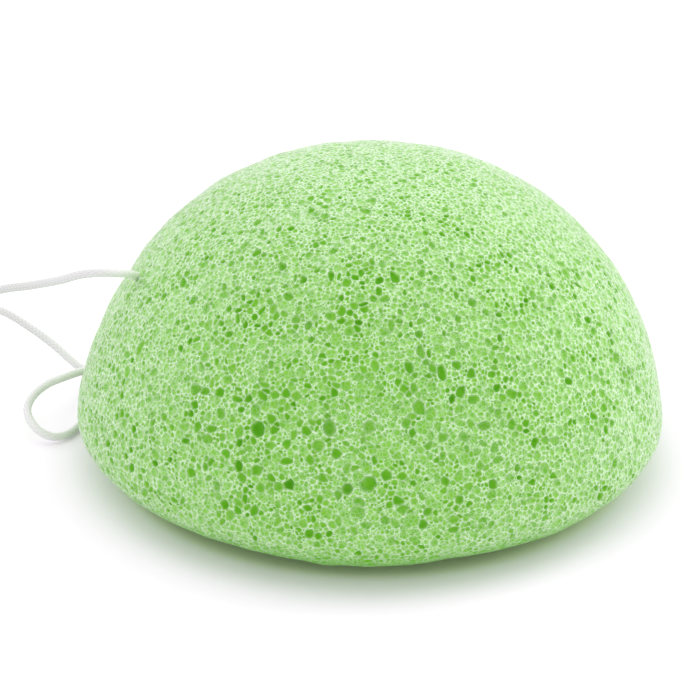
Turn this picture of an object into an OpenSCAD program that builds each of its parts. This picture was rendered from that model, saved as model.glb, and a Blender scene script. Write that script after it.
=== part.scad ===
// Konjac sponge: a dome of cast plant-fibre foam with one cord threaded through its left flank.
// The cord's ends are tied together in an overhand knot, which makes a loop to hang the sponge by.
// Units are millimetres. +Z is up, and the origin is the middle of the flat base.
// -Y is the side that faces the viewer, and the cord lies on the -X side.

/* [Sponge] */
// Diameter at the girth, the widest level
sponge_d = 80; // [70:1:80]
// Height from the flat base to the crown
sponge_h = 42; // [36:1:48]
// Height of the girth above the base
girth_h = 7.5; // [5:0.5:10]
// Diameter of the flat base that it rests on
base_d = 52; // [44:1:60]
// Exponent of the dome's reach outwards, where 2 is a plain ellipse
dome_reach = 2.4; // [2:0.1:2.8]
// Exponent of the dome's rise, where 2 is a plain ellipse
dome_rise = 1.6; // [1.4:0.1:2]

/* [Cord] */
// Diameter of the braided cord
cord_d = 1.2; // [0.8:0.1:1.4]
// Gap between the cord and the wall of its tunnel
tunnel_gap = 0.05; // [0.02:0.01:0.1]
// Height of the front hole above the base
front_hole_h = 27.8; // [24:0.2:30]
// Height of the back hole above the base
back_hole_h = 7.5; // [6:0.5:12]
// Compass angle of the front hole, counted from +X towards +Y
front_hole_angle = 186.3; // [180:0.3:192]
// Compass angle of the back hole, counted from +X towards +Y
back_hole_angle = 127; // [122:1:132]
// Length of the threaded run that stands out of each hole
run_proud = 1; // [0.8:0.1:1.5]
// Straight stretch of the loop before its first bend
lead_out = 3; // [2:0.5:4]

/* [Knot] */
// Diameter of the tied knot
knot_d = 4.6; // [4:0.1:5]
// Length of the knot along its own axis
knot_len = 4.4; // [4:0.2:5]
// Radius of the knot's rounded shoulders
knot_shoulder = 0.7; // [0.4:0.1:0.9]

/* [Hidden] */

foam_green = [0.62, 0.86, 0.52];
cord_white = [0.93, 0.94, 0.92];
round_fn = 96;
tunnel_fn = 48;

girth_r = sponge_d / 2;
base_r = base_d / 2;
cord_r = cord_d / 2;
dome_steps = 20;
rim_steps = 8;
quarter = 90;

// Half outline of the sponge: base edge, curled-under rim, girth, dome and crown
function rim_point(a) = [base_r + (girth_r - base_r) * sin(a), girth_h * (1 - cos(a))];
function dome_point(a) = [
    girth_r * pow(cos(a), 2 / dome_reach),
    girth_h + (sponge_h - girth_h) * pow(sin(a), 2 / dome_rise)
];
outline = concat(
    [[0, 0]],
    [for (i = [0 : rim_steps]) rim_point(quarter * i / rim_steps)],
    [for (i = [1 : dome_steps - 1]) dome_point(quarter * i / dome_steps)],
    [[0, sponge_h]]
);

// Radius of the sponge at a height on the dome
function dome_r(h) = girth_r * pow(1 - pow((h - girth_h) / (sponge_h - girth_h), dome_rise), 1 / dome_reach);
// Radius of the sponge at a height below the girth
function rim_r(h) = base_r + (girth_r - base_r) * sqrt(1 - pow((girth_h - h) / girth_h, 2));
function skin_r(h) = h < girth_h ? rim_r(h) : dome_r(h);
function on_skin(angle, h) = [skin_r(h) * cos(angle), skin_r(h) * sin(angle), h];

// The tunnel runs straight from the front hole down to the back hole
front_hole = on_skin(front_hole_angle, front_hole_h);
back_hole = on_skin(back_hole_angle, back_hole_h);
tunnel_len = norm(back_hole - front_hole);
tunnel_dir = (back_hole - front_hole) / tunnel_len;
tunnel_pitch = acos(tunnel_dir[2]);
tunnel_yaw = atan2(tunnel_dir[1], tunnel_dir[0]);
tunnel_overrun = 3 * cord_d;
front_end = front_hole - run_proud * tunnel_dir;
back_end = back_hole + run_proud * tunnel_dir;
front_lead = [front_end, front_end - lead_out / 2 * tunnel_dir, front_end - lead_out * tunnel_dir];
back_lead = [back_end, back_end + lead_out / 2 * tunnel_dir, back_end + lead_out * tunnel_dir];

// The knot lies just behind the sponge's left edge, on the surface that the sponge stands on
knot_at = [-37.1, 20.9, 2.6];
knot_yaw = 37;
knot_dir = [cos(knot_yaw), sin(knot_yaw), 0];
knot_side = [-sin(knot_yaw), cos(knot_yaw), 0];
knot_face_r = knot_d / 2 - knot_shoulder;
knot_turn = 30;
strand_apart_share = 0.7;
shoulder_steps = 4;
// Point on an end face of the knot: end is -1 for the loops and 1 for the tails
function knot_port(end, side) = knot_at + end * knot_len / 2 * knot_dir
    + side * strand_apart_share * cord_d * (cos(knot_turn) * knot_side - sin(knot_turn) * [0, 0, 1]);

// Routes of the cord's free stretches, each point set by hand, and the way that each cut end points
long_loop_route = concat(front_lead, [
    [-33.4, -8.9, 30.7], [-35.9, -9.9, 31.2], [-38.6, -8.6, 30.3], [-41.6, -5, 27.9],
    [-46.2, 0.8, 24.5], [-51, 6.4, 21.3], [-57.2, 13, 16.5], [-63.4, 19.8, 11.6],
    [-69.6, 26.4, 7.4], [-75.6, 32.4, 4.2], [-81, 37.6, 2.1], [-85.6, 42.6, 1.1],
    [-89, 48, 0.7], [-89, 53.5, 0.7], [-85.5, 57.5, 0.7], [-80.5, 57.5, 0.7],
    [-75, 54, 0.8], [-68.5, 48, 1.6], [-61.5, 40.5, 3.5], [-54.7, 33.4, 5.6],
    [-49.7, 28, 5.3], [-45.9, 23.3, 4.8], [-43.6, 21, 3.8], [-41.6, 19.9, 2.7]
], [knot_port(-1, 1)]);
small_loop_route = concat(back_lead, [
    [-22.9, 39.2, 3.9], [-24.8, 42, 3], [-27.5, 42.5, 2.2], [-29.8, 40.2, 1.5],
    [-30, 36, 0.9], [-28.6, 31.5, 0.7], [-29, 27, 0.7], [-31.6, 22.6, 0.7],
    [-34.2, 18, 0.7], [-36.8, 13.4, 0.7], [-39.2, 9, 0.7], [-40.8, 6, 0.7],
    [-42.3, 3.2, 0.7], [-44.2, 1.8, 1], [-46.1, 2, 1.8], [-47.5, 3.7, 2.6], [-48.1, 6.1, 3.2],
    [-47.5, 8.6, 3.9], [-45.8, 11, 4.5], [-43.6, 12.9, 4.7], [-41.9, 15, 4.4], [-41, 17.2, 3.6]
], [knot_port(-1, -1)]);
long_tail_route = concat([knot_port(1, -1)], [
    [-34.6, 23.8, 3.8], [-35.6, 26.4, 3.6], [-37, 28.8, 2.6], [-38.2, 31.4, 1.4],
    [-38.8, 34, 0.7], [-38.8, 36.6, 0.7]
]);
long_tail_end = [0.1, 1.3, -0.1];
short_tail_route = concat([knot_port(1, 1)], [
    [-34, 23.8, 2], [-32.9, 25.9, 1.6], [-32.4, 28.3, 0.9], [-32.8, 30.9, 0.7]
]);
short_tail_end = [-0.2, 1.3, -0.1];

// A smooth curve through a route, with a ring at least every few diameters of cord
ring_gap = 3 * cord_d;
cord_sides = 8;
function unit(v) = v / norm(v);
function slope(p, i, first, last) = i == 0 ? first : i == len(p) - 1 ? last : (p[i + 1] - p[i - 1]) / 2;
function curve(p0, p1, m0, m1, t) =
    (2 * pow(t, 3) - 3 * pow(t, 2) + 1) * p0 + (pow(t, 3) - 2 * pow(t, 2) + t) * m0
    + (3 * pow(t, 2) - 2 * pow(t, 3)) * p1 + (pow(t, 3) - pow(t, 2)) * m1;
function curve_dir(p0, p1, m0, m1, t) = unit(
    (6 * pow(t, 2) - 6 * t) * (p0 - p1) + (3 * pow(t, 2) - 4 * t + 1) * m0 + (3 * pow(t, 2) - 2 * t) * m1
);
function spans(p, i) = ceil(norm(p[i + 1] - p[i]) / ring_gap);
// Each ring's centre and the way that the cord runs there
function rings(p, first, last) = concat(
    [for (i = [0 : len(p) - 2], j = [0 : spans(p, i) - 1])
        let (m0 = slope(p, i, first, last), m1 = slope(p, i + 1, first, last), t = j / spans(p, i))
        [curve(p[i], p[i + 1], m0, m1, t), curve_dir(p[i], p[i + 1], m0, m1, t)]],
    [[p[len(p) - 1], unit(last)]]
);
// The side direction is carried from ring to ring, so that the tube doesn't twist
function square_to(v, along) = unit(v - (v * along) * along);
function carried(r, start) = [for (i = 0, s = square_to(start, r[0][1]); i < len(r);
    i = i + 1, s = i < len(r) ? square_to(s, r[i][1]) : s) s];

module cord_tube(route, first, last, start) {
    r = rings(route, first, last);
    s = carried(r, start);
    n = len(r);
    points = [for (i = [0 : n - 1], k = [0 : cord_sides - 1])
        let (a = 360 * k / cord_sides)
        r[i][0] + cord_r * (cos(a) * s[i] + sin(a) * cross(r[i][1], s[i]))];
    walls = [for (i = [0 : n - 2], k = [0 : cord_sides - 1])
        let (a = i * cord_sides + k, b = i * cord_sides + (k + 1) % cord_sides)
        each [[a, a + cord_sides, b], [b, a + cord_sides, b + cord_sides]]];
    near_end = [for (k = [1 : cord_sides - 2]) [0, k, k + 1]];
    far = (n - 1) * cord_sides;
    far_end = [for (k = [1 : cord_sides - 2]) [far, far + k + 1, far + k]];
    polyhedron(points = points, faces = concat(walls, near_end, far_end));
}

module along_tunnel(from, length, r) {
    translate(from) rotate([0, tunnel_pitch, tunnel_yaw]) cylinder(r = r, h = length, $fn = tunnel_fn);
}

// Foam dome with the cord's tunnel through it
module sponge() {
    color(foam_green) difference() {
        rotate_extrude($fn = round_fn) polygon(outline);
        along_tunnel(
            front_hole - tunnel_overrun * tunnel_dir,
            tunnel_len + 2 * tunnel_overrun,
            cord_r + tunnel_gap
        );
    }
}

// The stretch of cord inside the tunnel
module threaded_run() {
    color(cord_white) along_tunnel(front_end, tunnel_len + 2 * run_proud, cord_r);
}

// From the front hole out to the far bight and back to the knot
module long_loop() {
    color(cord_white)
        cord_tube(long_loop_route, -lead_out / 2 * tunnel_dir, cord_d * knot_dir, [0, 0, 1]);
}

// From the back hole round the small loop to the knot
module small_loop() {
    color(cord_white)
        cord_tube(small_loop_route, lead_out / 2 * tunnel_dir, cord_d * knot_dir, [0, 0, 1]);
}

// Overhand knot that ties both strands, as its rounded outer shape
module knot() {
    knot_r = knot_d / 2;
    bend = knot_len / 2 - knot_shoulder;
    function shoulder(a) = [knot_face_r + knot_shoulder * cos(a), bend + knot_shoulder * sin(a)];
    half = [for (i = [0 : shoulder_steps]) shoulder(quarter * i / shoulder_steps)];
    mirrored = [for (i = [0 : shoulder_steps]) [half[i][0], -half[i][1]]];
    color(cord_white) translate(knot_at) rotate([0, quarter, knot_yaw]) rotate_extrude($fn = tunnel_fn)
        polygon(concat(
            [[0, -knot_len / 2]],
            [for (i = [shoulder_steps : -1 : 0]) mirrored[i]],
            half,
            [[0, knot_len / 2]]
        ));
}

// Longer cut end, which lies down behind the sponge
module long_tail() {
    color(cord_white)
        cord_tube(long_tail_route, cord_d * knot_dir, long_tail_end, [0, 0, 1]);
}

// Shorter cut end, which lies on the surface beside it
module short_tail() {
    color(cord_white)
        cord_tube(short_tail_route, cord_d * knot_dir, short_tail_end, [0, 0, 1]);
}

sponge();
threaded_run();
long_loop();
knot();
small_loop();
long_tail();
short_tail();
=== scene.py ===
import math

import bmesh
import bpy
import numpy as np
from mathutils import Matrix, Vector
from mathutils.kdtree import KDTree


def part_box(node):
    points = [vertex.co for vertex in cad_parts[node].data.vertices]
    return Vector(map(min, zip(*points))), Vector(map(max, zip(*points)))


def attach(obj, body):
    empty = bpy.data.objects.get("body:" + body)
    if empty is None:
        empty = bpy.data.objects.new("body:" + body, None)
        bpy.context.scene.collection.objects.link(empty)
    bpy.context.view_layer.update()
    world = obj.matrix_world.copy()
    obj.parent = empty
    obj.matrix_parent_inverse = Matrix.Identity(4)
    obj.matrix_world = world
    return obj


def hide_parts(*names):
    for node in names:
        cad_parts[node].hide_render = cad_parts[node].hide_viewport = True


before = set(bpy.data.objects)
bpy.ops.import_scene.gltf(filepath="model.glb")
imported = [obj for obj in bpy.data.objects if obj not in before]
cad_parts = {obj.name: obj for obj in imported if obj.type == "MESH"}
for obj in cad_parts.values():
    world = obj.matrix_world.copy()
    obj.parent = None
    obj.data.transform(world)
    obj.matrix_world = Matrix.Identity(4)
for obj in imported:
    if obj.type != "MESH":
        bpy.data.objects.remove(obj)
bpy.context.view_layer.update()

# The camera looks along +Y and down on the sponge by about 26 degrees, from 40 cm away.
# A long lens keeps the dome's outline nearly as flat as a drawing.
view_rise = math.radians(25.73)
view_distance = 0.4
view_target = np.array((-0.00302, 0, 0.01522))
picture_px = 700
lens_px = 2940
view_back = np.array((0, -math.cos(view_rise), math.sin(view_rise)))
view_up = np.array((0, math.sin(view_rise), math.cos(view_rise)))
view_from = view_target + view_distance * view_back

lens = bpy.data.cameras.new("camera")
lens.sensor_width = 36
lens.lens = lens.sensor_width * lens_px / picture_px
camera = bpy.data.objects.new("camera", lens)
camera.location = view_from
camera.rotation_euler = (math.pi / 2 - view_rise, 0, 0)
bpy.context.scene.collection.objects.link(camera)
bpy.context.scene.camera = camera

# The sponge is one dome of plant-fibre foam, cast in a bowl and frozen, so it has no skin or seam.
# Frozen-out bubbles of very mixed sizes leave rounded cells with thin pale walls between them.
# The cord's tunnel opens at two small mouths on its left flank.
_, foam_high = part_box("sponge")
girth_r = foam_high[0]
sponge_h = foam_high[2]
girth_h = 0.0075
base_r = 0.026
outline_points = 600
foam_divisions = 9
foam_random = np.random.default_rng(11)

# Half outline of the dome from the crown down over the girth to the middle of the flat base.
# Above the girth it is a squared-off ellipse, with these powers across and up.
across_power = 2.4
up_power = 1.6
quarter = np.linspace(0, math.pi / 2, outline_points)
dome_curve = np.stack([
    girth_r * np.cos(quarter) ** (2 / across_power),
    girth_h + (sponge_h - girth_h) * np.sin(quarter) ** (2 / up_power),
], 1)
rim_curve = np.stack([base_r + (girth_r - base_r) * np.cos(quarter), girth_h * (1 - np.sin(quarter))], 1)
base_line = np.stack([np.linspace(base_r, 0, outline_points), np.zeros(outline_points)], 1)
half_outline = np.concatenate([dome_curve[::-1], rim_curve[1:], base_line[1:]])
outline_steps = np.diff(half_outline, axis=0)
outline_areas = np.hypot(*outline_steps.T) * (half_outline[1:, 0] + half_outline[:-1, 0])
area_share = np.concatenate([[0], np.cumsum(outline_areas)]) / outline_areas.sum()
# The polar angle on a ball whose share of area, counted from the top, is the outline's
outline_polar = np.arccos(np.clip(1 - 2 * area_share, -1, 1))
outline_way = np.gradient(half_outline, axis=0)
outline_way /= np.maximum(np.hypot(*outline_way.T), 1e-12)[:, None]


def unit(ways):
    return ways / np.maximum(np.linalg.norm(ways, axis=-1, keepdims=True), 1e-12)


def dot(a, b):
    return (a * b).sum(-1)


def on_foam(ball):
    """Where unit vectors land on the sponge's smooth outline, with the outward way there."""
    polar = np.arccos(np.clip(ball[:, 2], -1, 1))
    bearing = np.arctan2(ball[:, 1], ball[:, 0])
    r, z = (np.interp(polar, outline_polar, half_outline[:, k]) for k in range(2))
    along_r, along_z = (np.interp(polar, outline_polar, outline_way[:, k]) for k in range(2))
    cos, sin = np.cos(bearing), np.sin(bearing)
    places = np.stack([r * cos, r * sin, z], 1)
    return places, unit(np.stack([-along_z * cos, -along_z * sin, along_r], 1))


ray_steps = 6000


def behind_pixel(x, y):
    """The unit vector that on_foam lands where the ray through a pixel of the picture meets the dome."""
    right = (x - picture_px / 2) / lens_px
    up = (picture_px / 2 - y) / lens_px
    ray = np.array((right, 0, 0)) + up * view_up - view_back
    along = np.linspace(view_distance - 2 * girth_r, view_distance + girth_r, ray_steps)
    places = view_from + along[:, None] * ray
    level = np.clip((places[:, 2] - girth_h) / (sponge_h - girth_h), 0, 1)
    limit = girth_r * (1 - level ** up_power) ** (1 / across_power)
    hit = places[np.argmax(np.hypot(places[:, 0], places[:, 1]) < limit)]
    upper = half_outline[:, 1] >= girth_h / 2
    polar = np.interp(-hit[2], -half_outline[upper, 1], outline_polar[upper])
    bearing = math.atan2(hit[1], hit[0])
    flat = math.sin(polar)
    return np.array((flat * math.cos(bearing), flat * math.sin(bearing), math.cos(polar)))


# The pores that stand out on the front: middle x, y, width and height in the picture's
# pixels, and how deep each looks, from 0 for a shallow dish to 1 for a hole
pores_in_picture = (
    (257, 429, 13, 18, 0.8), (329, 428, 13, 19, 0.75), (328, 440, 7, 4, 0.9), (289, 485, 11, 12, 0.95),
    (347, 489, 13, 13, 0.9), (369, 484, 16, 16, 0.6), (238, 466, 9, 12, 0.8), (257, 470, 11, 12, 0.5),
    (248, 399, 9, 9, 0.7), (237, 399, 9, 7, 0.65), (286, 461, 9, 9, 0.55), (286, 393, 9, 8, 0.55),
    (271, 419, 9, 12, 0.5), (274, 430, 9, 7, 0.6), (306, 431, 8, 10, 0.55), (336, 454, 9, 10, 0.8),
    (318, 446, 12, 14, 0.4), (334, 393, 8, 9, 0.7), (293, 404, 6, 6, 0.85), (242, 478, 11, 11, 0.4),
    (260, 488, 9, 11, 0.4), (338, 495, 8, 11, 0.6), (320, 499, 7, 8, 0.65), (359, 502, 10, 9, 0.55),
    (358, 512, 12, 13, 0.45), (254, 511, 8, 12, 0.55), (244, 499, 6, 7, 0.75), (363, 440, 7, 8, 0.6),
    (369, 427, 12, 12, 0.6), (239, 443, 7, 11, 0.75), (323, 478, 8, 10, 0.6), (347, 469, 7, 11, 0.55),
    (409, 367, 9, 11, 0.8), (421, 351, 8, 13, 0.65), (429, 353, 5, 9, 0.8), (419, 334, 11, 8, 0.65),
    (432, 368, 9, 10, 0.5), (442, 374, 11, 14, 0.65), (457, 365, 10, 10, 0.6), (461, 392, 11, 13, 0.55),
    (452, 399, 7, 10, 0.9), (473, 400, 12, 10, 0.55), (419, 407, 12, 14, 0.5), (414, 388, 8, 12, 0.45),
    (485, 426, 13, 12, 0.65), (498, 414, 9, 9, 0.5), (512, 425, 8, 10, 0.65), (494, 448, 7, 12, 0.5),
    (464, 437, 10, 10, 0.55), (512, 394, 12, 11, 0.4), (497, 388, 8, 8, 0.8), (535, 442, 9, 10, 0.7),
    (500, 338, 6, 9, 0.75), (406, 423, 10, 10, 0.5), (428, 446, 7, 9, 0.65), (497, 460, 9, 9, 0.5),
    (185, 414, 4, 8, 0.7), (190, 414, 7, 8, 0.75), (194, 405, 8, 9, 0.6), (164, 417, 6, 10, 0.6),
    (155, 463, 6, 7, 0.85), (131, 468, 7, 10, 0.55), (107, 443, 7, 7, 0.6), (185, 441, 8, 7, 0.7),
    (207, 439, 11, 9, 0.45), (211, 429, 11, 9, 0.5), (191, 473, 8, 12, 0.55), (211, 462, 6, 7, 0.8),
    (224, 505, 9, 9, 0.8), (195, 389, 10, 12, 0.6), (493, 484, 9, 9, 0.7), (445, 481, 9, 10, 0.6),
    (460, 500, 10, 9, 0.6), (398, 501, 9, 10, 0.7), (385, 520, 10, 9, 0.6), (423, 524, 11, 9, 0.75),
    (354, 530, 9, 7, 0.6), (453, 530, 9, 7, 0.65),
    (282, 266, 9, 8, 0.8), (303, 279, 8, 8, 0.95), (291, 228, 6, 5, 0.9), (257, 253, 9, 7, 0.65),
    (264, 255, 5, 6, 0.65), (279, 229, 5, 7, 0.7), (257, 222, 8, 6, 0.7), (311, 210, 9, 6, 0.65),
    (240, 232, 7, 5, 0.65), (206, 258, 5, 7, 0.75), (223, 261, 5, 4, 0.9), (231, 264, 8, 6, 0.55),
    (224, 233, 5, 5, 0.85), (213, 230, 5, 6, 0.65), (269, 242, 5, 4, 0.8), (295, 278, 5, 6, 0.65),
    (254, 277, 4, 5, 0.9), (241, 259, 7, 6, 0.55), (316, 245, 7, 7, 0.55), (317, 270, 6, 5, 0.75),
    (262, 232, 5, 7, 0.65), (346, 237, 7, 3, 0.85), (363, 239, 6, 5, 0.6), (372, 246, 7, 8, 0.55),
    (354, 247, 6, 6, 0.55), (379, 280, 8, 9, 0.8), (395, 278, 9, 10, 0.75), (422, 273, 6, 9, 0.8),
    (431, 273, 5, 5, 0.9), (372, 261, 7, 7, 0.65), (361, 272, 6, 6, 0.65), (349, 265, 8, 5, 0.55),
    (331, 276, 7, 9, 0.75), (342, 261, 4, 4, 0.8), (359, 256, 5, 4, 0.8), (401, 237, 5, 5, 0.7),
    (405, 242, 5, 6, 0.6), (388, 241, 4, 4, 0.85), (432, 245, 6, 7, 0.7), (325, 216, 8, 7, 0.6),
    (340, 197, 5, 3, 0.8), (408, 215, 5, 5, 0.65), (364, 253, 3, 4, 0.95), (420, 261, 9, 5, 0.55),
    (429, 280, 4, 3, 0.9), (412, 278, 5, 4, 0.8),
    (289, 296, 8, 8, 0.8), (285, 286, 6, 7, 0.75), (268, 290, 7, 6, 0.75), (258, 294, 5, 6, 0.7),
    (243, 297, 4, 7, 0.9), (250, 302, 5, 4, 0.95), (229, 309, 7, 6, 0.8), (238, 310, 7, 4, 0.85),
    (262, 310, 5, 8, 0.6), (254, 317, 4, 7, 0.85), (245, 324, 6, 8, 0.75), (221, 323, 6, 6, 0.8),
    (229, 334, 7, 7, 0.8), (224, 329, 3, 5, 0.9), (270, 324, 5, 6, 0.7), (296, 319, 9, 8, 0.7),
    (296, 327, 5, 5, 0.9), (308, 325, 8, 10, 0.75), (316, 323, 3, 7, 0.8), (278, 333, 5, 4, 0.9),
    (281, 330, 4, 4, 0.9), (311, 339, 6, 7, 0.8), (284, 337, 7, 8, 0.5), (300, 303, 5, 4, 0.8),
    (245, 340, 4, 4, 0.8), (276, 316, 7, 8, 0.45), (218, 317, 4, 5, 0.8), (269, 333, 7, 6, 0.55),
    (379, 292, 7, 7, 0.75), (385, 299, 9, 8, 0.65), (395, 300, 5, 6, 0.5), (405, 292, 5, 5, 0.8),
    (405, 305, 6, 6, 0.65), (364, 304, 9, 4, 0.9), (365, 309, 9, 6, 0.6), (341, 298, 5, 7, 0.8),
    (359, 322, 8, 6, 0.95), (350, 313, 7, 6, 0.65), (341, 321, 9, 8, 0.6), (357, 329, 8, 6, 0.7),
    (391, 325, 7, 9, 0.7), (394, 317, 5, 6, 0.7), (399, 321, 6, 6, 0.75), (411, 324, 5, 6, 1.0),
    (400, 335, 5, 5, 0.85), (400, 312, 6, 6, 0.6), (426, 305, 9, 6, 0.6), (438, 319, 5, 7, 0.75),
    (456, 295, 5, 7, 0.9), (411, 300, 4, 4, 0.85), (444, 333, 5, 6, 0.75), (369, 325, 3, 5, 0.9),
    (361, 335, 4, 6, 0.75), (363, 287, 4, 4, 0.85), (458, 319, 6, 9, 0.75), (509, 255, 6, 7, 0.8),
    (467, 234, 6, 6, 0.7), (500, 246, 5, 4, 0.85), (526, 250, 6, 4, 0.75), (527, 244, 5, 4, 0.75),
    (511, 266, 4, 4, 0.9), (517, 270, 4, 6, 0.75), (479, 265, 9, 4, 0.8), (552, 286, 7, 8, 0.75),
    (527, 300, 5, 6, 0.95), (522, 305, 4, 5, 0.9), (472, 302, 9, 8, 0.8), (488, 291, 5, 5, 0.9),
    (497, 305, 5, 6, 0.75), (499, 314, 7, 6, 0.8), (461, 290, 5, 4, 0.85), (454, 278, 6, 6, 0.7),
    (549, 309, 6, 6, 0.65), (535, 306, 5, 8, 0.65), (458, 229, 5, 5, 0.85), (472, 229, 5, 4, 0.85),
    (483, 233, 3, 5, 0.85), (447, 259, 5, 5, 0.8), (452, 264, 6, 5, 0.75), (540, 272, 5, 6, 0.75),
    (506, 262, 6, 4, 0.7), (442, 234, 5, 4, 0.85), (475, 285, 4, 3, 0.9), (471, 269, 6, 5, 0.6),
)


class Pores:
    """Bubbles cut open by the surface: middle, outward way, mean radius, long way, stretch and depth."""

    def __init__(self, ball, radius, long_way, stretch, depth):
        self.middle, self.outward = on_foam(ball)
        self.radius = radius
        self.long_way = unit(long_way - dot(long_way, self.outward)[:, None] * self.outward)
        self.stretch = stretch
        self.depth = depth

    def add(self, other):
        for name in ("middle", "outward", "radius", "long_way", "stretch", "depth"):
            setattr(self, name, np.concatenate([getattr(self, name), getattr(other, name)]))


def seen_pores():
    """The pores of the picture, each at its place on the dome and at its real size."""
    seen = np.array(pores_in_picture)
    ball = np.array([behind_pixel(x, y) for x, y in seen[:, :2]])
    middle, outward = on_foam(ball)
    scale = np.linalg.norm(middle - view_from, axis=1) / lens_px
    wide = seen[:, 2] * scale / np.sqrt(1 - outward[:, 0] ** 2)
    high = seen[:, 3] * scale / np.sqrt(1 - dot(outward, view_up) ** 2)
    return Pores(ball, np.sqrt(wide * high) / 2, np.tile(view_up, (len(seen), 1)), high / wide, seen[:, 4])


# The remaining pores are thrown at random, largest first: least and greatest radius, how many
# throws, how much of two radii keeps their middles apart, and how far they stretch and deepen
pore_throws = (
    (0.00070, 0.00088, 300, 1.0, 0.25, 0.6),
    (0.00052, 0.00070, 4000, 0.95, 0.4, 0.75),
    (0.00039, 0.00052, 14000, 0.92, 0.6, 1.0),
    (0.00028, 0.00039, 45000, 0.90, 0.7, 1.0),
    (0.00019, 0.00028, 140000, 0.90, 0.7, 1.0),
)
# Most are shallow and nearly round: the shape of the draw for depth, and the power of the one for stretch
depth_draw = (1.1, 3.2)
stretch_power = 1.5
# Pores are smaller at the crown, above this share of the height, and under the girth
crown_start_share = 0.75
crown_size_share = 0.8
rim_size_share = 0.75


def tree_of(places):
    """A search tree of places, each under its own number."""
    tree = KDTree(len(places))
    for i, place in enumerate(places):
        tree.insert(place, i)
    tree.balance()
    return tree


def with_room(middle, radius, greatest, pores, apart):
    """The numbers of the throws that keep clear of the pores placed before and of each other."""
    placed = tree_of(pores.middle)
    reach = pores.radius.max()
    room = []
    for i, place in enumerate(middle):
        near = placed.find_range(place, apart * (radius[i] + reach))
        if all(gap > apart * (radius[i] + pores.radius[j]) for _, j, gap in near):
            room.append(i)
    thrown = tree_of(middle[room])
    free = [True] * len(room)
    for k, i in enumerate(room):
        if free[k]:
            for _, m, gap in thrown.find_range(middle[i], apart * (radius[i] + greatest)):
                if m > k and gap < apart * (radius[i] + radius[room[m]]):
                    free[m] = False
    return [i for k, i in enumerate(room) if free[k]]


def thrown_pores(pores):
    """Adds random pores in the room that the larger ones leave."""
    for least, greatest, throws, apart, most_stretch, most_depth in pore_throws:
        ball = unit(foam_random.normal(size=(throws, 3)))
        middle, _ = on_foam(ball)
        high_up = np.clip((middle[:, 2] / sponge_h - crown_start_share) / (1 - crown_start_share), 0, 1)
        low_down = np.clip(1 - middle[:, 2] / girth_h, 0, 1)
        size_share = 1 - (1 - crown_size_share) * high_up - (1 - rim_size_share) * low_down
        radius = foam_random.uniform(least, greatest, throws) * size_share
        long_way = foam_random.normal(size=(throws, 3))
        stretch = 1 + most_stretch * foam_random.random(throws) ** stretch_power
        depth = most_depth * foam_random.beta(*depth_draw, throws)
        kept = with_room(middle, radius, greatest, pores, apart)
        pores.add(Pores(ball[kept], radius[kept], long_way[kept], stretch[kept], depth[kept]))
    return pores


# Slow waves bend the cells, so that no pore is a true ellipse
wave_count = 14
wave_pitches = (0.0016, 0.0042)
wave_push_share = 0.03
wave_ways = unit(foam_random.normal(size=(wave_count, 3)))
wave_pitch = foam_random.uniform(*wave_pitches, wave_count)
wave_start = foam_random.uniform(0, 2 * math.pi, wave_count)
wave_push = unit(foam_random.normal(size=(wave_count, 3))) * wave_pitch[:, None] * wave_push_share


def bent(places):
    """Places moved by the waves. A pore that is an ellipse there is a bent one on the sponge."""
    phase = places @ (wave_ways / wave_pitch[:, None]).T * 2 * math.pi + wave_start
    return places + np.sin(phase) @ wave_push


# The search for cells goes by blocks of space, each wider than the largest pore reaches
search_block = 0.0017
search_around = np.array([(i, j, k) for i in (-1, 0, 1) for j in (-1, 0, 1) for k in (-1, 0, 1)])


def nearest_cells(places, pores, count):
    """The numbers and powers of the count pores that reach each place best, and where both are when bent.

    A power is the squared way to a pore's middle, stretched as the pore is, less its squared radius.
    Each place is tried with the pores of its own block and of those around. Without any, its powers
    stay at 1 square metre, which is outside every pore.
    """
    middle = bent(pores.middle)
    bent_places = bent(places)
    low = bent_places.min(0) - 2 * search_block
    place_key = np.floor((bent_places - low) / search_block).astype(np.int64)
    pore_key = np.floor((middle - low) / search_block).astype(np.int64)
    blocks = place_key.max(0) + 4

    def in_one(key):
        return (key[..., 0] * blocks[1] + key[..., 1]) * blocks[2] + key[..., 2]

    pore_order = np.argsort(in_one(pore_key), kind="stable")
    pore_block = in_one(pore_key)[pore_order]
    place_block = in_one(place_key)
    place_order = np.argsort(place_block, kind="stable")
    block_starts = np.flatnonzero(np.diff(place_block[place_order])) + 1
    starts = np.concatenate([[0], block_starts, [len(places)]])
    number = np.zeros((len(places), count), np.int64)
    power = np.ones((len(places), count))
    for start, end in zip(starts[:-1], starts[1:]):
        here = place_order[start:end]
        keys = np.sort(in_one(place_key[here[0]] + search_around))
        first = np.searchsorted(pore_block, keys, "left")
        last = np.searchsorted(pore_block, keys, "right")
        near = np.concatenate([pore_order[a:b] for a, b in zip(first, last)])
        if len(near) < count:
            continue
        offset = bent_places[here][:, None] - middle[near]
        along = (offset * pores.long_way[near]).sum(-1)
        across = (offset ** 2).sum(-1) - along ** 2
        stretch = pores.stretch[near]
        found = stretch * across + along ** 2 / stretch - pores.radius[near] ** 2
        best = np.argpartition(found, count - 1, axis=1)[:, :count]
        found = np.take_along_axis(found, best, 1)
        order = np.argsort(found, axis=1)
        number[here] = near[np.take_along_axis(best, order, 1)]
        power[here] = np.take_along_axis(found, order, 1)
    return number, power, bent_places, middle


# A pore opens past its own radius where no neighbour stands in its way, and its corners are
# round. A way counts as farthest_way at most, which keeps the exponents small.
pore_swell = 1.4
corner_rounding = 0.000035
cells_around = 4
farthest_way = 0.002


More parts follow.
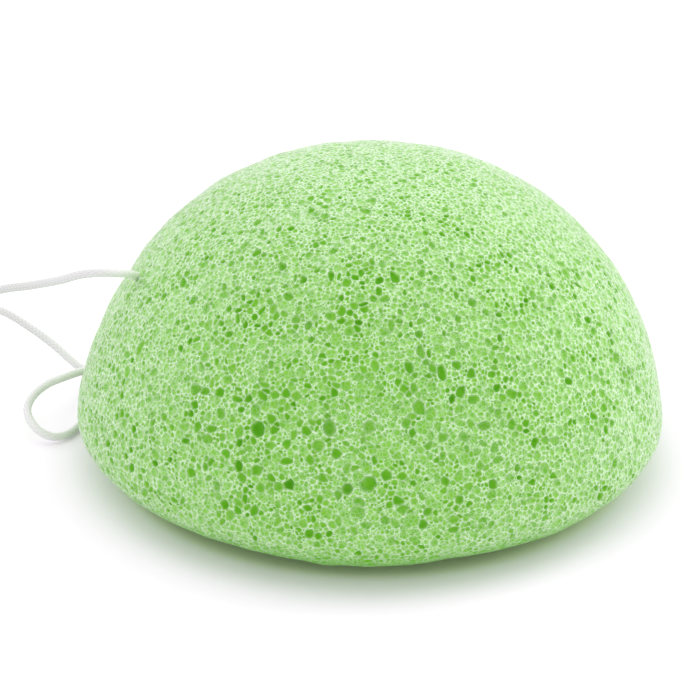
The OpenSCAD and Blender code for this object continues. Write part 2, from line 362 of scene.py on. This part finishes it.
def cell_walls(places, pores):
    """Each place's own pore, how far it stands inside that pore's rounded edge, from the wall to the
    next pore and from the pore's open rim, and the way that leads to the wall."""
    number, power, bent_places, middle = nearest_cells(places, pores, cells_around)
    offset = bent_places[:, None] - middle[number]
    long_way = pores.long_way[number]
    stretch = pores.stretch[number][..., None]
    along = (offset * long_way).sum(-1, keepdims=True)
    slope = 2 * (stretch * offset + (1 / stretch - stretch) * along * long_way)
    steepness = np.maximum(np.linalg.norm(slope[:, 1:] - slope[:, :1], axis=2), 1e-9)
    to_wall = (power[:, 1:] - power[:, :1]) / steepness
    radius = pores.radius[number[:, 0]]
    to_edge = pore_swell * radius - np.sqrt(np.maximum(power[:, 0] + radius ** 2, 0))
    all_ways = np.clip(np.concatenate([to_edge[:, None], to_wall], 1), -farthest_way, farthest_way)
    inside = -corner_rounding * np.log(np.exp(-all_ways / corner_rounding).sum(1))
    next_way = unit(slope[:, 0] - slope[:, 1])
    return number[:, 0], inside, to_wall[:, 0], to_edge, next_way


# Two mouths of the cord's tunnel, where the foam opens round the cord. As far as the calm
# reaches from a mouth, the pores are shallower.
front_mouth = np.array((-0.0315016, -0.0034778, 0.0278))
back_mouth = np.array((-0.0240726, 0.0319454, 0.0075))
tunnel_way = unit(back_mouth - front_mouth)
mouth_r = 0.0004
mouth_reach = 0.0016
mouth_depth = 0.0034
mouth_calm = 0.0007
calm_share = 0.15


def tunnel_mouths(places):
    """Pushes the surface into the tunnel round the cord at both mouths."""
    for mouth, way in ((front_mouth, tunnel_way), (back_mouth, -tunnel_way)):
        offset = places - mouth
        along = offset @ way
        apart = np.linalg.norm(offset - along[:, None] * way, axis=1)
        inside = (apart < mouth_r) & (np.abs(along) < mouth_reach)
        places[inside] += (mouth_depth * np.sqrt(1 - (apart[inside] / mouth_r) ** 2))[:, None] * way


# Slow swells of the casting: bearing in degrees, height, how far out and how wide
foam_swells = (
    (172, 0.021, -0.0003, 0.009),
    (186, 0.008, 0.00035, 0.007),
    (0, 0.0105, -0.00045, 0.007),
    (270, 0.0025, 0.0002, 0.006),
    (287, 0.0022, -0.0002, 0.005),
    (240, 0.0027, -0.0002, 0.006),
)


# A fine unevenness all over, as the mould leaves it
ripple_count = 12
ripple_pitches = (0.003, 0.008)
ripple_height = 0.00002
ripple_random = np.random.default_rng(3)
ripple_ways = unit(ripple_random.normal(size=(ripple_count, 3)))
ripple_ways /= ripple_random.uniform(*ripple_pitches, (ripple_count, 1))
ripple_start = ripple_random.uniform(0, 2 * math.pi, ripple_count)


def swollen(places, outward):
    """Places moved in or out by the swells and the fine unevenness."""
    flank = half_outline[:, 1] > 0
    out = np.zeros(len(places))
    for bearing, height, amount, spread in foam_swells:
        r = np.interp(-height, -half_outline[flank, 1], half_outline[flank, 0])
        turn = math.radians(bearing)
        middle = np.array((r * math.cos(turn), r * math.sin(turn), height))
        out += amount * np.exp(-((places - middle) ** 2).sum(1) / (2 * spread ** 2))
    out += ripple_height * np.sin(2 * math.pi * places @ ripple_ways.T + ripple_start).sum(1)
    return places + out[:, None] * outward


# A pore is a bowl that starts half a wall's thickness inside its edge. Its slope takes up a share
# of its radius. Its depth is a share of the radius too, which grows from a dish to a hole.
wall_half = 0.00005
slope_share = 0.8
dish_depth_share = 0.3
hole_depth_share = 0.9
# A pore's dark mark is painted shade. It grows with the pore's depth, and the more the pore is smaller than
# small_pore_r.
# It is reached part of the way down the slope.
shade_least = 0.3
small_pore_r = 0.0004
small_pore_shade = 500
shade_rise = 1.5
# Mesh points this near to a wall move onto it
snap_gap = 0.0000825

foam_bm = bmesh.new()
bmesh.ops.create_icosphere(foam_bm, subdivisions=foam_divisions, radius=1)
foam_mesh = bpy.data.meshes.new("sponge_foam")
foam_bm.to_mesh(foam_mesh)
foam_bm.free()
ball_points = np.empty(len(foam_mesh.vertices) * 3)
foam_mesh.vertices.foreach_get("co", ball_points)
ball_points = unit(ball_points.reshape(-1, 3))
skin, outward = on_foam(ball_points)
pores = thrown_pores(seen_pores())
own, inside, to_wall, to_edge, next_way = cell_walls(skin, pores)

# Points close to a wall between two pores move onto it, so that the wall's crest is sharp
snap = (to_wall < snap_gap) & (to_edge > 0)
sideways = unit(next_way - dot(next_way, outward)[:, None] * outward)
skin[snap] += to_wall[snap, None] * sideways[snap]
inside[snap] = np.minimum(inside[snap], 0)

own_r = pores.radius[own]
own_depth = pores.depth[own]
bowl = np.clip((inside - wall_half) / (slope_share * own_r), 0, 1)
sunk = np.sqrt(1 - (1 - bowl) ** 2)
for mouth in (front_mouth, back_mouth):
    sunk *= np.clip((np.linalg.norm(skin - mouth, axis=1) - mouth_r) / mouth_calm, calm_share, 1)
pit = own_r * (dish_depth_share + hole_depth_share * own_depth) * sunk
shade = shade_least + own_depth + np.clip(small_pore_r - own_r, 0, 1) * small_pore_shade
darkness = shade * np.minimum(shade_rise * sunk, 1)
foam_points = swollen(skin, outward) - pit[:, None] * outward
foam_points[:, 2] = np.maximum(foam_points[:, 2], 0)
tunnel_mouths(foam_points)
foam_mesh.vertices.foreach_set("co", foam_points.ravel())
mm_per_m = 1000
for name, values in (("edge", inside * mm_per_m), ("dark", darkness)):
    marks = foam_mesh.attributes.new(name, "FLOAT", "POINT")
    marks.data.foreach_set("value", values.astype(np.float32))
foam_mesh.shade_smooth()

# Its flat chart for a picture of its colours is two round halves side by side, the crown's and
# the base's, with every part at its share of the area
corner_points = np.empty(len(foam_mesh.loops), np.int32)
foam_mesh.loops.foreach_get("vertex_index", corner_points)
corners = ball_points[corner_points].reshape(-1, 3, 3)
half = np.where(corners[:, :, 2].mean(1) > 0, 1, -1)[:, None]
chart_r = 0.24
chart_middle = 0.5
chart_apart = 0.25
from_pole = chart_r * np.sqrt(1 - half * corners[:, :, 2])
level = np.maximum(np.hypot(corners[:, :, 0], corners[:, :, 1]), 1e-9)
chart = np.stack([
    chart_middle + chart_apart * half + from_pole * corners[:, :, 0] / level,
    chart_middle + half * from_pole * corners[:, :, 1] / level,
], 2)
foam_mesh.uv_layers.new(name="OFBake").uv.foreach_set("vector", chart.astype(np.float32).ravel())
foam = bpy.data.objects.new("sponge_foam", foam_mesh)
bpy.context.scene.collection.objects.link(foam)


class Wire:
    """A shader socket, on which Python's operators add Math nodes."""

    def __init__(self, tree, socket=None):
        self.tree = tree
        self.socket = socket

    def node(self, kind, settings, sockets, output=0):
        """Adds a node: its settings first, then the values or links of its sockets."""
        made = self.tree.nodes.new(kind)
        for name, value in settings.items():
            setattr(made, name, value)
        for name, value in sockets.items():
            if isinstance(value, Wire):
                self.tree.links.new(value.socket, made.inputs[name])
            else:
                made.inputs[name].default_value = value
        return Wire(self.tree, made.outputs[output] if made.outputs else None)

    def math(self, operation, *values):
        return self.node("ShaderNodeMath", {"operation": operation}, dict(enumerate(values)))

    def __add__(self, other):
        return self.math("ADD", self, other)

    def __sub__(self, other):
        return self.math("SUBTRACT", self, other)

    def __rsub__(self, other):
        return self.math("SUBTRACT", other, self)

    def __mul__(self, other):
        return self.math("MULTIPLY", self, other)

    __radd__ = __add__
    __rmul__ = __mul__

    def smooth(self, start, end):
        """0 at start and 1 at end, with a soft step between."""
        return self.node(
            "ShaderNodeMapRange",
            {"interpolation_type": "SMOOTHSTEP"},
            {"Value": self, "From Min": start, "From Max": end},
        )

    def mix(self, low, high):
        """The colour low where this is 0, and high where it is 1."""
        return self.node("ShaderNodeMix", {"data_type": "RGBA"}, {0: self, 6: low, 7: high}, 2)


def new_material(name):
    """An empty node material, and the wire that its nodes are added from."""
    made = bpy.data.materials.new(name)
    made.use_nodes = True
    made.node_tree.nodes.clear()
    return made, Wire(made.node_tree)


def finish_material(wire, shader):
    """Puts a shader on the material's surface."""
    wire.node("ShaderNodeOutputMaterial", {}, {"Surface": shader})


# The foam is palest on the crests of its walls, and its darker green down in its holes is painted shade.
# Its lowest few millimetres are painted darker too, as shade where it meets the table. The scales are in
# noise patches or net cells to the metre.
crest_green = (0.69, 0.91, 0.60, 1)
skin_green = (0.27, 0.69, 0.055, 1)
dish_green = (0.22, 0.61, 0.01, 1)
hole_green = (0.13, 0.50, 0.0, 1)
region_scale = 130.0
patch_scale = 330.0
skin_net_scale = 2400.0
pore_net_scale = 1700.0
skin_cell_share = 0.9
skin_strand_share = 0.85
pore_cell_share = 0.5
pore_strand_share = 0.6
pore_strand_fade = 0.8
foot_shade_share = 0.65
foot_shade_band = (0.003, 0.0068)
skin_relief = 0.0001

# Ranges of the edge mark, which is in millimetres, below 0 on a wall and above 0 in a pore, and
# of the dark mark, the painted shade, which goes from 0 on a wall to about 1.4 in a deep hole
crest_start = (-0.1, -0.05)
crest_stop = (-0.01, 0.03)
floor_start = (0.0, 0.04)
dish_dark = (0.05, 0.6)
hole_dark = (0.5, 1.15)
inside_dark = (0.3, 1.0)

# Ranges of the noise and of the nets. A region's pores and a patch's crests keep a share of their
# strength where the noise is low, and gain the rest where it is high.
region_noise = (0.38, 0.6)
region_gain = 0.45
patch_noise = (0.3, 0.55)
patch_gain = 0.4
kept_share = 0.6
strand_width = (0.03, 0.12)
cell_draw = (0.35, 0.7)

foam_material, wire = new_material("konjac_foam")
edge = wire.node("ShaderNodeAttribute", {"attribute_name": "edge"}, {}, 2)
dark = wire.node("ShaderNodeAttribute", {"attribute_name": "dark"}, {}, 2)
place = wire.node("ShaderNodeTexCoord", {}, {}, 3)
region = wire.node("ShaderNodeTexNoise", {}, {"Vector": place, "Scale": region_scale, "Detail": 1.0})
dark = dark * (region.smooth(*region_noise) * region_gain + kept_share)


def net(scale):
    """A net of small cells: how near a point is to a strand, and a random number for each cell."""
    inputs = {"Vector": place, "Scale": scale}
    to_strand = wire.node("ShaderNodeTexVoronoi", {"feature": "DISTANCE_TO_EDGE"}, inputs)
    cell = wire.node("ShaderNodeTexVoronoi", {}, inputs, 1)
    return 1 - to_strand.smooth(*strand_width), cell.smooth(*cell_draw)


fine_strand, fine_cell = net(skin_net_scale)
inner_strand, inner_cell = net(pore_net_scale)
skin_colour = (fine_cell * skin_cell_share).mix(skin_green, hole_green)
skin_colour = (fine_strand * skin_strand_share).mix(skin_colour, crest_green)
# Painted shade: pore floors turn a darker green as the dark mark grows
floor_colour = dark.smooth(*dish_dark).mix(skin_green, dish_green)
floor_colour = (inner_cell * pore_cell_share).mix(floor_colour, hole_green)
floor_colour = dark.smooth(*hole_dark).mix(floor_colour, hole_green)
inner_share = pore_strand_share - dark * pore_strand_fade
floor_colour = (inner_strand * inner_share).mix(floor_colour, crest_green)
colour = edge.smooth(*floor_start).mix(skin_colour, floor_colour)
patch = wire.node("ShaderNodeTexNoise", {}, {"Vector": place, "Scale": patch_scale, "Detail": 2.0})
crest = edge.smooth(*crest_start) * (1 - edge.smooth(*crest_stop))
crest = crest * (patch.smooth(*patch_noise) * patch_gain + kept_share)
colour = crest.mix(colour, crest_green)
# Painted shade at the foot: the lowest few millimetres go towards the hole green
height = wire.node("ShaderNodeSeparateXYZ", {}, {"Vector": place}, 2)
foot_shade = 1 - height.smooth(*foot_shade_band)
colour = (foot_shade * foot_shade_share).mix(colour, hole_green)
bump = wire.node("ShaderNodeBump", {}, {"Strength": 0.4, "Distance": skin_relief, "Height": fine_strand})

# Fine fibres give the outer strands a haze of light, and the pores much less of it. The foot gets little of
# it too, as part of its painted shade.
skin_haze = 1.0
pore_haze = 0.3
on_skin, in_pore = (
    wire.node(
        "ShaderNodeBsdfPrincipled",
        {},
        {
            "Base Color": colour,
            "Roughness": 0.6,
            "Specular IOR Level": 0.1,
            "Sheen Weight": haze,
            "Sheen Roughness": 0.6,
            "Normal": bump,
        },
    )
    for haze in (skin_haze, pore_haze)
)
pore_or_foot_shade = dark.smooth(*inside_dark) + foot_shade
finish_material(wire, wire.node("ShaderNodeMixShader", {}, {0: pore_or_foot_shade, 1: on_skin, 2: in_pore}))
foam_mesh.materials.append(foam_material)
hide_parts("sponge")
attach(foam, "sponge")

# The cord is one length of thin white synthetic braid, 1.2 mm thick, threaded through the
# sponge's flank. The stretch in the tunnel is held by the foam's grip and stands out 1 mm at
# each mouth. All of the cord is tubes along given routes, with the braid raised on them.
cord_d = 0.0012
cord_sides = 48
cord_gap = 0.00012
route_steps = 40
run_proud = 0.001
lead_out = 0.003
braid_strands = 6
braid_pitch = 0.0009
braid_relief = 0.00004
# A pick is one raised stitch. Its length and width are shares of the braid's cell, and its slant
# turns every second one the other way.
pick_long_share = 0.75
pick_wide_share = 0.28
pick_slant = 0.1
cell_border = 1e-6
# A melted tip swells a little, is smooth as far as the glaze reaches, and is rounded nearly shut
melted_swell = 1.12
melted_pick = 0.75
glaze_reach = 1.5 * cord_d
tip_rounding = 0.45 * cord_d
tip_shut_share = 0.99
front_end = front_mouth - run_proud * tunnel_way
back_end = back_mouth + run_proud * tunnel_way


def smooth_route(points, first, last):
    """Points cord_gap apart along the smooth curve through a route, with the given end slopes."""
    points = np.array(points)
    slopes = np.concatenate([[first], (points[2:] - points[:-2]) / 2, [last]])
    t = np.linspace(0, 1, route_steps + 1)[:-1, None]
    rise = 3 * t**2 - 2 * t**3
    spans = (1 - rise) * points[:-1, None] + rise * points[1:, None]
    spans = spans + (t**3 - 2 * t**2 + t) * slopes[:-1, None] + (t**3 - t**2) * slopes[1:, None]
    fine = np.concatenate([spans.reshape(-1, 3), points[-1:]])
    run = np.concatenate([[0], np.cumsum(np.linalg.norm(np.diff(fine, axis=0), axis=1))])
    even = np.linspace(0, run[-1], max(2, round(run[-1] / cord_gap)) + 1)
    return np.stack([np.interp(even, run, fine[:, k]) for k in range(3)], 1), run[-1]


def side_ways(route):
    """Two ways square to the cord at each point, carried along it without a twist."""
    way = unit(np.gradient(route, axis=0))
    side = np.empty_like(way)
    side[0] = unit(np.array((0, 0, 1)) - way[0, 2] * way[0])
    for i in range(1, len(way)):
        side[i] = side[i - 1] - (side[i - 1] @ way[i]) * way[i]
        side[i] /= np.linalg.norm(side[i])
    return side, np.cross(way, side)


def braid(run, turn):
    """How far a place along and round the cord is on a pick, and how deep it lies between the strands."""
    left = braid_strands * turn + run / braid_pitch
    right = braid_strands * turn - run / braid_pitch
    left_cell, right_cell = np.floor(left + cell_border), np.floor(right + cell_border)
    left, right = left - left_cell - 0.5, right - right_cell - 0.5
    slant = np.where((left_cell + right_cell) % 2 < 1, pick_slant, -pick_slant)
    along, across = left - right, left + right + slant * (left - right)
    pick = np.exp(-(along / pick_long_share) ** 2 - (across / pick_wide_share) ** 2)
    return pick, braid_relief * (1 - np.cos(math.pi * left) * np.cos(math.pi * right))


def melted_tip(to_tip, radius, pick):
    """The radius and the pick where the flame has smoothed the last of a cut end to a bead."""
    glaze = np.clip((glaze_reach - to_tip) / cord_d, 0, 1)
    bead_r = radius + glaze * (cord_d / 2 * melted_swell - radius)
    bead_r = bead_r * np.sqrt(1 - np.clip(1 - to_tip / tip_rounding, 0, tip_shut_share) ** 2)
    return bead_r, pick * (1 - glaze) + melted_pick * glaze


def braided(name, *routes, melted=False):
    """Braided tubes along routes: a grid wrapped round each, with each strand's picks raised.

    Each tube's chart is cut into rows, so that a long thin cord fills a square.
    """
    bm = bmesh.new()
    chart = bm.loops.layers.uv.new("OFBake")
    raised = bm.verts.layers.float.new("pick")
    for part, route in enumerate(routes):
        spans = len(route) - 1
        made = bmesh.ops.create_grid(bm, x_segments=spans, y_segments=cord_sides, size=0.5)["verts"]
        on_grid = np.array([v.co[:2] for v in made]) + 0.5
        ring = np.rint(on_grid[:, 0] * spans).astype(int)
        turn = on_grid[:, 1]
        side, cross = side_ways(route)
        run = ring * np.linalg.norm(np.diff(route, axis=0), axis=1).mean()
        pick, sink = braid(run, turn)
        radius = cord_d / 2 - sink
        if melted:
            radius, pick = melted_tip(run.max() - run, radius, pick)
        angle = 2 * math.pi * turn
        round_way = np.cos(angle)[:, None] * side[ring] + np.sin(angle)[:, None] * cross[ring]
        places = route[ring] + radius[:, None] * round_way
        rows = max(1, round(math.sqrt(run.max() / (math.pi * cord_d))))
        row_rings = math.ceil(spans / rows)
        bm.verts.index_update()
        start = made[0].index
        for v, co, value in zip(made, places, pick):
            v.co = co
            v[raised] = value
        for face in {face for v in made for face in v.link_faces}:
            row = min(ring[loop.vert.index - start] for loop in face.loops) // row_rings
            for loop in face.loops:
                at = loop.vert.index - start
                along_row = (ring[at] - row * row_rings) / row_rings
                loop[chart].uv = along_row, (part + (row + turn[at]) / rows) / len(routes)
    bmesh.ops.remove_doubles(bm, verts=bm.verts, dist=cord_gap / 100)
    ends = [e for e in bm.edges if e.is_boundary]
    bmesh.ops.holes_fill(bm, edges=ends, sides=0)
    bmesh.ops.recalc_face_normals(bm, faces=bm.faces)
    mesh = bpy.data.meshes.new(name)
    bm.to_mesh(mesh)
    bm.free()
    mesh.shade_smooth()
    mesh.materials.append(cord_material)
    made = bpy.data.objects.new(name, mesh)
    bpy.context.scene.collection.objects.link(made)
    return made


# The yarn is white, with painted highlights on its picks where the filaments would catch the light. Its
# colour is
# painted light too: paler and a little less green close to the sponge than out where the loop lies, to make
# up for the sponge's shade and its green bounce.
near_glint = (0.98, 0.96, 0.98, 1)
near_white = (0.92, 0.89, 0.92, 1)
far_glint = (0.83, 0.83, 0.83, 1)
far_white = (0.69, 0.685, 0.68, 1)
from_near_to_far = (0.043, 0.055)
glint_range = (0.1, 0.8)
cord_material, wire = new_material("white_braid")
pick = wire.node("ShaderNodeAttribute", {"attribute_name": "pick"}, {}, 2)
place = wire.node("ShaderNodeTexCoord", {}, {}, 3)
from_middle = wire.node("ShaderNodeVectorMath", {"operation": "LENGTH"}, {0: place}, 1)
away = from_middle.smooth(*from_near_to_far)
# Painted light and painted highlights on the yarn
yarn_white = away.mix(near_white, far_white)
yarn_glint = away.mix(near_glint, far_glint)
yarn_colour = pick.smooth(*glint_range).mix(yarn_white, yarn_glint)
yarn_finish = {"Base Color": yarn_colour, "Roughness": 0.8, "Specular IOR Level": 0.1}
finish_material(wire, wire.node("ShaderNodeBsdfPrincipled", {}, yarn_finish))

run_route, _ = smooth_route([front_end, back_end], back_end - front_end, back_end - front_end)
threaded_run = braided("cord_in_tunnel", run_route)
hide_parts("threaded_run")
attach(threaded_run, "cord_run")

# The cord's two ends are tied together behind the sponge's left edge, both strands in one
# overhand knot. Its shape is real knot work: each strand passes round and through its own loop.
knot_middle = np.array((-0.0371, 0.0209, 0.0026))
knot_yaw = math.radians(37)
knot_turn = math.radians(30)
knot_len = 0.0044
strand_apart_share = 0.7
knot_way = np.array((math.cos(knot_yaw), math.sin(knot_yaw), 0))
knot_side = np.array((-math.sin(knot_yaw), math.cos(knot_yaw), 0))
knot_up = np.array((0, 0, 1))
knot_across = math.cos(knot_turn) * knot_side - math.sin(knot_turn) * knot_up
knot_third = np.cross(knot_way, knot_across)

# A strand's way into the knot and out of it, in shares: how far along the knot's length, how far
# from its middle line in cord thicknesses, and how many degrees round that line
way_in_shares = (
    (-0.5, strand_apart_share, 0), (-0.27, 0.52, 0), (0.09, 0.46, 0), (0.34, 0.62, 15), (0.43, 1.08, 65),
)
way_out_shares = (
    (-0.43, 1.08, 530), (-0.34, 0.62, 575), (-0.14, 0.5, 600), (0.14, 0.5, 600), (0.34, 0.58, 570),
    (0.5, strand_apart_share, 540),
)
# Between the two it goes once round the outside, from the cut ends' side back to the loops' side
wrap_len = 0.0026
wrap_r = 0.00167
wrap_start = 120
wrap_turn = 360
wrap_step = 40


def knot_port(end, side):
    """Where a strand meets the knot: end -1 is for the loops and 1 for the cut ends."""
    return knot_middle + end * knot_len / 2 * knot_way + side * strand_apart_share * cord_d * knot_across


def knot_strand(side):
    """One strand's way through the knot: along its core, once round it and back through its own turn."""
    wrap = [
        (wrap_len * (0.5 - turned / wrap_turn), wrap_r, wrap_start + turned)
        for turned in range(0, wrap_turn + 1, wrap_step)
    ]
    way_in, way_out = (
        [(along * knot_len, apart * cord_d, turn) for along, apart, turn in shares]
        for shares in (way_in_shares, way_out_shares)
    )
    points = []
    for along, apart, turn in way_in + wrap + way_out:
        turn = math.radians(turn)
        outward = math.cos(turn) * knot_across + math.sin(turn) * knot_third
        points.append(knot_middle + along * knot_way + side * apart * outward)
    return smooth_route(points, cord_d * knot_way, cord_d * knot_way)[0]


knot_cord = braided("knot_cord", knot_strand(1), knot_strand(-1))
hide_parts("knot")
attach(knot_cord, "cord_loop")

# The long loop leaves the front mouth, runs out to the left, turns on the floor outside the
# picture and comes back under the knot. It is the loop that the sponge hangs by.
long_loop_points = [
    front_end, front_end - lead_out / 2 * tunnel_way, front_end - lead_out * tunnel_way,
    (-0.0334, -0.0089, 0.0307), (-0.0359, -0.0099, 0.0312), (-0.0386, -0.0086, 0.0303),
    (-0.0416, -0.005, 0.0279), (-0.0462, 0.0008, 0.0245), (-0.051, 0.0064, 0.0213),
    (-0.0572, 0.013, 0.0165), (-0.0634, 0.0198, 0.0116), (-0.0696, 0.0264, 0.0074),
    (-0.0756, 0.0324, 0.0042), (-0.081, 0.0376, 0.0021), (-0.0856, 0.0426, 0.0011),
    (-0.089, 0.048, 0.0007), (-0.089, 0.0535, 0.0007), (-0.0855, 0.0575, 0.0007),
    (-0.0805, 0.0575, 0.0007), (-0.075, 0.054, 0.0008), (-0.0685, 0.048, 0.0016),
    (-0.0615, 0.0405, 0.0035), (-0.0547, 0.0334, 0.0056), (-0.0497, 0.028, 0.0053),
    (-0.0459, 0.0233, 0.0048), (-0.0436, 0.021, 0.0038), (-0.0416, 0.0199, 0.0027),
    knot_port(-1, 1),
]
long_route, long_length = smooth_route(long_loop_points, -lead_out / 2 * tunnel_way, cord_d * knot_way)
long_loop = braided("long_loop_cord", long_route)
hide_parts("long_loop")
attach(long_loop, "cord_loop")

# The small loop leaves the back mouth low down, comes forward on the floor behind the sponge's
# left edge, shows there as a small open loop and goes back to the knot.
small_loop_points = [
    back_end, back_end + lead_out / 2 * tunnel_way, back_end + lead_out * tunnel_way,
    (-0.0229, 0.0392, 0.0039), (-0.0248, 0.042, 0.003), (-0.0275, 0.0425, 0.0022),
    (-0.0298, 0.0402, 0.0015), (-0.03, 0.036, 0.0009), (-0.0286, 0.0315, 0.0007),
    (-0.029, 0.027, 0.0007), (-0.0316, 0.0226, 0.0007), (-0.0342, 0.018, 0.0007),
    (-0.0368, 0.0134, 0.0007), (-0.0392, 0.009, 0.0007), (-0.0408, 0.006, 0.0007),
    (-0.0423, 0.0032, 0.0007), (-0.0442, 0.0018, 0.001), (-0.0461, 0.002, 0.0018),
    (-0.0475, 0.0037, 0.0026), (-0.0481, 0.0061, 0.0032), (-0.0475, 0.0086, 0.0039),
    (-0.0458, 0.011, 0.0045), (-0.0436, 0.0129, 0.0047), (-0.0419, 0.015, 0.0044),
    (-0.041, 0.0172, 0.0036),
    knot_port(-1, -1),
]
small_route, small_length = smooth_route(small_loop_points, lead_out / 2 * tunnel_way, cord_d * knot_way)
small_loop = braided("small_loop_cord", small_route)
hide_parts("small_loop")
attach(small_loop, "cord_loop")

# The two cut ends come out of the knot's far side and lie down behind the sponge. Each tip
# was melted with a flame, so that the braid doesn't fray.
long_tail_points = [
    knot_port(1, -1), (-0.0346, 0.0238, 0.0038), (-0.0356, 0.0264, 0.0036), (-0.037, 0.0288, 0.0026),
    (-0.0382, 0.0314, 0.0014), (-0.0388, 0.034, 0.0007), (-0.0388, 0.0366, 0.0007),
]
short_tail_points = [
    knot_port(1, 1), (-0.034, 0.0238, 0.002), (-0.0329, 0.0259, 0.0016), (-0.0324, 0.0283, 0.0009),
    (-0.0328, 0.0309, 0.0007),
]
long_tail_slope = (0.0001, 0.0013, -0.0001)
short_tail_slope = (-0.0002, 0.0013, -0.0001)
for name, points, last in (
    ("long_tail", long_tail_points, long_tail_slope),
    ("short_tail", short_tail_points, short_tail_slope),
):
    tail_route, _ = smooth_route(points, cord_d * knot_way, last)
    tail = braided(name + "_cord", tail_route, melted=True)
    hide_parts(name)
    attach(tail, "cord_loop")

# A pale table top carries the sponge. An even white room lights it, with three wide soft lamps:
# one overhead and one on each side, a little behind it.
floor_half = 1.5
floor_gap = 0.00003
floor_bm = bmesh.new()
bmesh.ops.create_grid(floor_bm, x_segments=1, y_segments=1, size=floor_half)
floor_mesh = bpy.data.meshes.new("floor")
floor_bm.to_mesh(floor_mesh)
floor_bm.free()
floor = bpy.data.objects.new("floor", floor_mesh)
floor.location.z = -floor_gap
bpy.context.scene.collection.objects.link(floor)


def looked_at(wire):
    """1 for the rays that show a surface, directly or in gloss or glass, and 0 for those that light it."""
    ways = ("Is Camera Ray", "Is Glossy Ray", "Is Transmission Ray")
    camera_ray, glossy_ray, glass_ray = (wire.node("ShaderNodeLightPath", {}, {}, way) for way in ways)
    return camera_ray + glossy_ray + glass_ray


# Where it is seen, the table carries painted light and shade: it is a little yellower under the sponge's
# edge as a painted shadow tint, less green in a ring round it to cancel the sponge's green bounce, and
# lifted towards white by a painted glow from just outside the sponge outwards, stronger on the left than at
# the back right. The shadow on it is real, with its outer part painted out by the glow.
table_white = (0.93, 0.93, 0.93, 1)
painted_ring_tint = (0.94, 0.87, 0.97, 1)
painted_shadow_tint = (0.95, 0.93, 0.78, 1)
black = (0, 0, 0, 1)
full_white = (1, 1, 1, 1)
near_lift_left = 0.125
near_lift_right = 0.05
far_lift = 0.035
# Bands of distance from the middle, where each of these comes in or goes out, and the band of the
# way to the back right over which the near lift drops
edge_band = (0.034, 0.037)
ring_start = (0.034, 0.0375)
ring_end = (0.044, 0.051)
near_lift_band = (0.0335, 0.0365)
far_lift_band = (0.037, 0.044)
right_back_way = (0.8, 0.6, 0)
right_back_band = (-0.02, 0.03)
floor_material, wire = new_material("floor")
place = wire.node("ShaderNodeTexCoord", {}, {}, 3)
from_middle = wire.node("ShaderNodeVectorMath", {"operation": "LENGTH"}, {0: place}, 1)
under_edge = looked_at(wire) * (1 - from_middle.smooth(*edge_band))
near_ring = looked_at(wire) * from_middle.smooth(*ring_start) * (1 - from_middle.smooth(*ring_end))
table_colour = under_edge.mix(near_ring.mix(table_white, painted_ring_tint), painted_shadow_tint)
white = wire.node("ShaderNodeBsdfDiffuse", {}, {"Color": table_colour})
both_ways = {0: place, 1: right_back_way}
to_right_back = wire.node("ShaderNodeVectorMath", {"operation": "DOT_PRODUCT"}, both_ways, 1)
on_right = to_right_back.smooth(*right_back_band)
near_lift = near_lift_left - on_right * (near_lift_left - near_lift_right)
both_lifts = from_middle.smooth(*near_lift_band) * near_lift + from_middle.smooth(*far_lift_band) * far_lift
lifted = looked_at(wire) * both_lifts
# Painted light: a glow added to the table where it is seen
painted_light = wire.node("ShaderNodeEmission", {}, {"Color": lifted.mix(black, full_white), "Strength": 1.0})
finish_material(wire, wire.node("ShaderNodeAddShader", {}, {0: white, 1: painted_light}))
floor_mesh.materials.append(floor_material)


lamp_aim = Vector((0, 0, 0.015))


def soft_lamp(name, place, size, energy):
    """A round lamp that shines on the sponge."""
    light = bpy.data.lights.new(name, "AREA")
    light.shape = "DISK"
    light.size = size
    light.energy = energy
    lamp = bpy.data.objects.new(name, light)
    lamp.location = place
    lamp.rotation_euler = (lamp_aim - Vector(place)).to_track_quat("-Z", "Y").to_euler()
    bpy.context.scene.collection.objects.link(lamp)


soft_lamp("overhead", (0, 0.08, 0.6), 0.7, 0.66)
soft_lamp("left", (-0.45, 0.33, 0.3), 0.5, 0.65)
soft_lamp("right", (0.48, 0.24, 0.3), 0.5, 1.35)

room = bpy.data.worlds.new("room")
room.use_nodes = True
room.node_tree.nodes.clear()
wire = Wire(room.node_tree)
room_light = 0.86
seen_light = looked_at(wire) * (1 - room_light) + room_light
white_room = wire.node("ShaderNodeBackground", {}, {"Color": full_white, "Strength": seen_light})
wire.node("ShaderNodeOutputWorld", {}, {"Surface": white_room})
bpy.context.scene.world = room
bpy.context.scene.view_settings.view_transform = "Standard"
